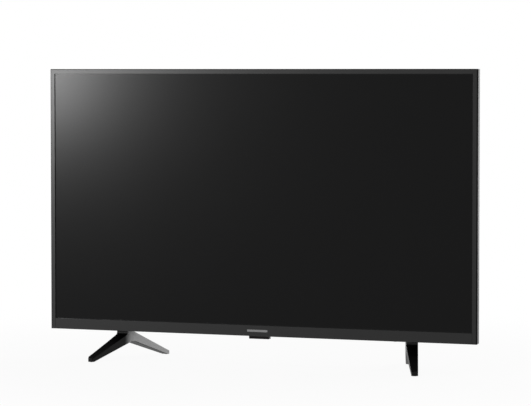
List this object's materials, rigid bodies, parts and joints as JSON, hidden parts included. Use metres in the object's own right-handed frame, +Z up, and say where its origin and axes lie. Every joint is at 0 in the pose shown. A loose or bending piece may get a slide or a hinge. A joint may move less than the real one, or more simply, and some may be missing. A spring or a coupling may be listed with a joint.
{
  "type": "flat screen television",
  "caption": "Flat screen television with a slim charcoal bezel, a deeper chin bar and a stepped rear cover, standing on two bent blade feet.",
  "frame": {"origin": "bottom centre of the box that holds the whole set, on the surface that it stands on", "axes": "+X to the right of a viewer in front of the screen, +Y from the screen to the back, +Z up"},
  "size_m": [0.961, 0.2194, 0.625],
  "materials": {
    "bezel_plastic": "satin charcoal, fine texture",
    "badge_metal": "satin",
    "screen_glass": "dark anti-glare screen",
    "frame_plastic": "moulded black",
    "optical_film": "clear film",
    "diffuser_plastic": "milky",
    "reflector_film": "white",
    "light_bar": "white circuit bar",
    "lens_plastic": "clear lens",
    "pan_steel": "galvanised sheet",
    "film_amber": "amber film",
    "board_green": "solder mask",
    "cover_plastic": "textured black",
    "spacer_steel": "zinc plated",
    "screw_steel": "black oxide",
    "chip_black": "moulded",
    "sink_aluminium": "extruded",
    "transformer_tape": "yellow tape",
    "capacitor_sleeve": "sleeve",
    "socket_steel": "nickel plated",
    "socket_black": "moulded",
    "aerial_nickel": "nickel",
    "plate_black": "smooth black",
    "switch_plastic": "smooth black",
    "button_plastic": "smooth",
    "speaker_plastic": "moulded",
    "driver_paper": "cone and steel",
    "gasket_foam": "foam",
    "window_plastic": "dark window",
    "foot_plastic": "semi-gloss black",
    "pad_rubber": "soft",
    "ribbon_white": "flat ribbon",
    "lead_black": "sheathed"
  },
  "bodies": {
    "set": {"bezel_frame": "bezel_plastic", "bottom_bezel": "bezel_plastic", "badge_bar": "badge_metal", "lcd_panel": "screen_glass", "middle_frame": "frame_plastic", "optical_sheets": "optical_film", "diffuser_plate": "diffuser_plastic", "diffuser_posts": "diffuser_plastic", "reflector_sheet": "reflector_film", "led_bars": "light_bar", "led_lenses": "lens_plastic", "back_pan": "pan_steel", "source_boards": "board_green", "panel_films": "film_amber", "rear_cover": "cover_plastic", "vesa_spacers": "spacer_steel", "main_board": "board_green", "power_board": "board_green", "board_spacers": "spacer_steel", "board_screws": "screw_steel", "cover_screws": "screw_steel", "main_chips": "chip_black", "chip_heat_sink": "sink_aluminium", "transformers": "transformer_tape", "capacitors": "capacitor_sleeve", "power_heat_sink": "sink_aluminium", "hdmi_sockets": "socket_steel", "usb_sockets": "socket_steel", "network_socket": "socket_steel", "optical_socket": "socket_black", "card_slot": "socket_black", "headphone_socket": "socket_black", "aerial_socket": "aerial_nickel", "terminal_plate": "plate_black", "mains_inlet": "socket_black", "mains_switch": "switch_plastic", "control_panel": "plate_black", "key_board": "board_green", "key_switches": "chip_black", "speaker_boxes": "speaker_plastic", "speaker_drivers": "driver_paper", "speaker_gaskets": "gasket_foam", "receiver_window": "window_plastic", "receiver_board": "board_green", "receiver_sensors": "chip_black", "wireless_board": "board_green", "right_foot": "foot_plastic", "left_foot": "foot_plastic", "foot_pads": "pad_rubber", "foot_screws": "screw_steel", "foot_brackets": "pan_steel", "flat_cable": "ribbon_white", "speaker_leads": "lead_black", "power_leads": "lead_black", "control_leads": "lead_black", "cable_clips": "frame_plastic"},
    "mains_rocker": {"mains_rocker": "switch_plastic"},
    "button_function": {"button_function": "button_plastic"},
    "button_up": {"button_up": "button_plastic"},
    "button_down": {"button_down": "button_plastic"}
  },
  "joints": [
    {"name": "mains_rocker_turn", "type": "hinge", "parent": "set", "child": "mains_rocker", "pos_m": [0.332, 0.0165, 0.112], "axis": [1, 0, 0], "range_deg": [0, 14]},
    {"name": "button_function_press", "type": "slide", "parent": "set", "child": "button_function", "axis": [0, -1, 0], "range_m": [0, 0.0008], "stiffness_N_per_m": 1500, "springref_m": -0.0004},
    {"name": "button_up_press", "type": "slide", "parent": "set", "child": "button_up", "axis": [0, -1, 0], "range_m": [0, 0.0008], "stiffness_N_per_m": 1500, "springref_m": -0.0004},
    {"name": "button_down_press", "type": "slide", "parent": "set", "child": "button_down", "axis": [0, -1, 0], "range_m": [0, 0.0008], "stiffness_N_per_m": 1500, "springref_m": -0.0004}
  ]
}
